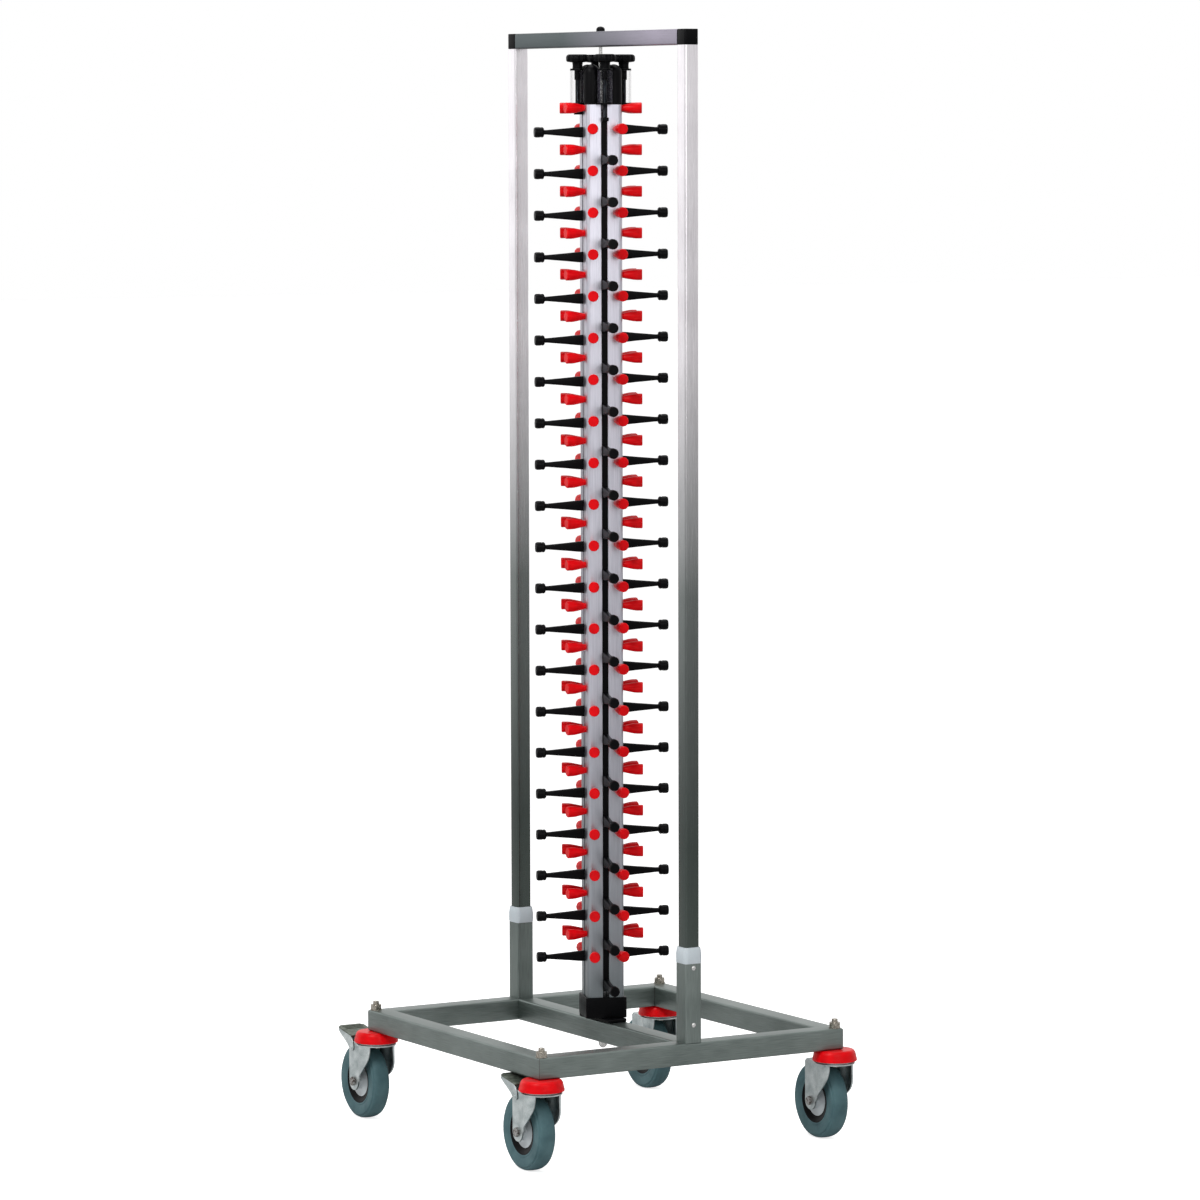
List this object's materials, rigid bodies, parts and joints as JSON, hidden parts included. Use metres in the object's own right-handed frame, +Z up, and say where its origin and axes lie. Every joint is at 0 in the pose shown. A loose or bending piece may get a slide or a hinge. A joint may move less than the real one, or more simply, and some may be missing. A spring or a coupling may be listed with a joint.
{
  "type": "plate rack cart",
  "caption": "Mobile plate rack: a square tube base on swivel castors, a portal frame and a turning column whose pegs and adjustable arms hold plates by the edge.",
  "frame": {"origin": "on the floor under the turning column's axis, midway between the castor pivots", "axes": "+Z up; +X front, towards one upright of the portal; +Y right; castors stored trailing towards -X"},
  "size_m": [0.689, 0.623, 1.808],
  "materials": {
    "frame_steel": "ground stainless tube",
    "upright_steel": "ground stainless tube",
    "bright_steel": "bright plated fasteners",
    "zinc": "zinc plated pressings",
    "aluminium": "natural anodised profile",
    "grey_plastic": "light grey moulding",
    "black_plastic": "black moulding",
    "red_plastic": "red moulding",
    "clear_plastic": "clear tube",
    "grey_rubber": "blue grey rubber"
  },
  "bodies": {
    "base": {"rail_front": "frame_steel", "rail_right": "frame_steel", "rail_back": "frame_steel", "rail_left": "frame_steel", "cross_beam": "frame_steel", "upright_sockets": "frame_steel", "socket_screws": "bright_steel", "collars": "grey_plastic", "uprights": "upright_steel", "crossbar": "upright_steel", "corner_joints": "black_plastic", "tie_rod": "bright_steel", "cap_nut": "black_plastic", "rod_nut": "bright_steel", "column_pad": "black_plastic", "castor_studs": "bright_steel", "castor_nuts": "bright_steel", "bumper_rings": "red_plastic"},
    "column": {"column_foot": "black_plastic", "column_profiles": "aluminium", "column_head": "black_plastic", "pegs_front": "red_plastic", "pegs_right": "red_plastic", "pegs_back": "red_plastic", "pegs_left": "red_plastic", "sleeves": "clear_plastic"},
    "rack_front": {"rack_bar_front": "black_plastic", "arms_front": "black_plastic", "spindle_front": "bright_steel"},
    "knob_front": {"knob_front": "black_plastic"},
    "rack_right": {"rack_bar_right": "black_plastic", "arms_right": "black_plastic", "spindle_right": "bright_steel"},
    "knob_right": {"knob_right": "black_plastic"},
    "rack_back": {"rack_bar_back": "black_plastic", "arms_back": "black_plastic", "spindle_back": "bright_steel"},
    "knob_back": {"knob_back": "black_plastic"},
    "rack_left": {"rack_bar_left": "black_plastic", "arms_left": "black_plastic", "spindle_left": "bright_steel"},
    "knob_left": {"knob_left": "black_plastic"},
    "fork_front_left": {"fork_front_left": "zinc", "axle_front_left": "bright_steel"},
    "wheel_front_left": {"wheel_centre_front_left": "black_plastic", "tyre_front_left": "grey_rubber"},
    "fork_back_left": {"fork_back_left": "zinc", "axle_back_left": "bright_steel"},
    "wheel_back_left": {"wheel_centre_back_left": "black_plastic", "tyre_back_left": "grey_rubber"},
    "fork_front_right": {"fork_front_right": "zinc", "axle_front_right": "bright_steel"},
    "wheel_front_right": {"wheel_centre_front_right": "black_plastic", "tyre_front_right": "grey_rubber"},
    "fork_back_right": {"fork_back_right": "zinc", "axle_back_right": "bright_steel"},
    "wheel_back_right": {"wheel_centre_back_right": "black_plastic", "tyre_back_right": "grey_rubber"},
    "pedal_front_left": {"brake_pedal_front_left": "zinc"},
    "pedal_back_left": {"brake_pedal_back_left": "zinc"}
  },
  "joints": [
    {"name": "column_turn", "type": "hinge", "parent": "base", "child": "column", "pos_m": [0, 0, 0.192], "axis": [0, 0, 1], "continuous": true},
    {"name": "knob_turn_front", "type": "hinge", "parent": "column", "child": "knob_front", "pos_m": [0.03571, -0.013, 1.737], "axis": [0, 0, -1], "range_deg": [-73, 1369]},
    {"name": "rack_slide_front", "type": "slide", "parent": "column", "child": "rack_front", "axis": [0, 0, 1], "range_m": [-0.001, 0.019]},
    {"name": "knob_turn_right", "type": "hinge", "parent": "column", "child": "knob_right", "pos_m": [0.013, 0.03571, 1.737], "axis": [0, 0, -1], "range_deg": [-1189, 253]},
    {"name": "rack_slide_right", "type": "slide", "parent": "column", "child": "rack_right", "axis": [0, 0, 1], "range_m": [-0.0165, 0.0035]},
    {"name": "knob_turn_back", "type": "hinge", "parent": "column", "child": "knob_back", "pos_m": [-0.03571, 0.013, 1.737], "axis": [0, 0, -1], "range_deg": [-865, 577]},
    {"name": "rack_slide_back", "type": "slide", "parent": "column", "child": "rack_back", "axis": [0, 0, 1], "range_m": [-0.012, 0.008]},
    {"name": "knob_turn_left", "type": "hinge", "parent": "column", "child": "knob_left", "pos_m": [-0.013, -0.03571, 1.737], "axis": [0, 0, -1], "range_deg": [-865, 577]},
    {"name": "rack_slide_left", "type": "slide", "parent": "column", "child": "rack_left", "axis": [0, 0, 1], "range_m": [-0.012, 0.008]},
    {"name": "swivel_front_left", "type": "hinge", "parent": "base", "child": "fork_front_left", "pos_m": [0.275, -0.275, 0.13], "axis": [0, 0, 1], "continuous": true},
    {"name": "wheel_turn_front_left", "type": "hinge", "parent": "fork_front_left", "child": "wheel_front_left", "pos_m": [0.235, -0.275, 0.0625], "axis": [0, 1, 0], "continuous": true},
    {"name": "swivel_back_left", "type": "hinge", "parent": "base", "child": "fork_back_left", "pos_m": [-0.275, -0.275, 0.13], "axis": [0, 0, 1], "continuous": true},
    {"name": "wheel_turn_back_left", "type": "hinge", "parent": "fork_back_left", "child": "wheel_back_left", "pos_m": [-0.315, -0.275, 0.0625], "axis": [0, 1, 0], "continuous": true},
    {"name": "swivel_front_right", "type": "hinge", "parent": "base", "child": "fork_front_right", "pos_m": [0.275, 0.275, 0.13], "axis": [0, 0, 1], "continuous": true},
    {"name": "wheel_turn_front_right", "type": "hinge", "parent": "fork_front_right", "child": "wheel_front_right", "pos_m": [0.235, 0.275, 0.0625], "axis": [0, 1, 0], "continuous": true},
    {"name": "swivel_back_right", "type": "hinge", "parent": "base", "child": "fork_back_right", "pos_m": [-0.275, 0.275, 0.13], "axis": [0, 0, 1], "continuous": true},
    {"name": "wheel_turn_back_right", "type": "hinge", "parent": "fork_back_right", "child": "wheel_back_right", "pos_m": [-0.315, 0.275, 0.0625], "axis": [0, 1, 0], "continuous": true},
    {"name": "brake_front_left", "type": "hinge", "parent": "fork_front_left", "child": "pedal_front_left", "pos_m": [0.231, -0.275, 0.119], "axis": [0, -1, 0], "range_deg": [0, 16]},
    {"name": "brake_back_left", "type": "hinge", "parent": "fork_back_left", "child": "pedal_back_left", "pos_m": [-0.319, -0.275, 0.119], "axis": [0, -1, 0], "range_deg": [0, 16]}
  ],
  "couplings": [
    {"joint": "knob_turn_front", "follows": "rack_slide_front", "rad_per_m": 1256.6},
    {"joint": "knob_turn_right", "follows": "rack_slide_right", "rad_per_m": 1256.6},
    {"joint": "knob_turn_back", "follows": "rack_slide_back", "rad_per_m": 1256.6},
    {"joint": "knob_turn_left", "follows": "rack_slide_left", "rad_per_m": 1256.6}
  ]
}
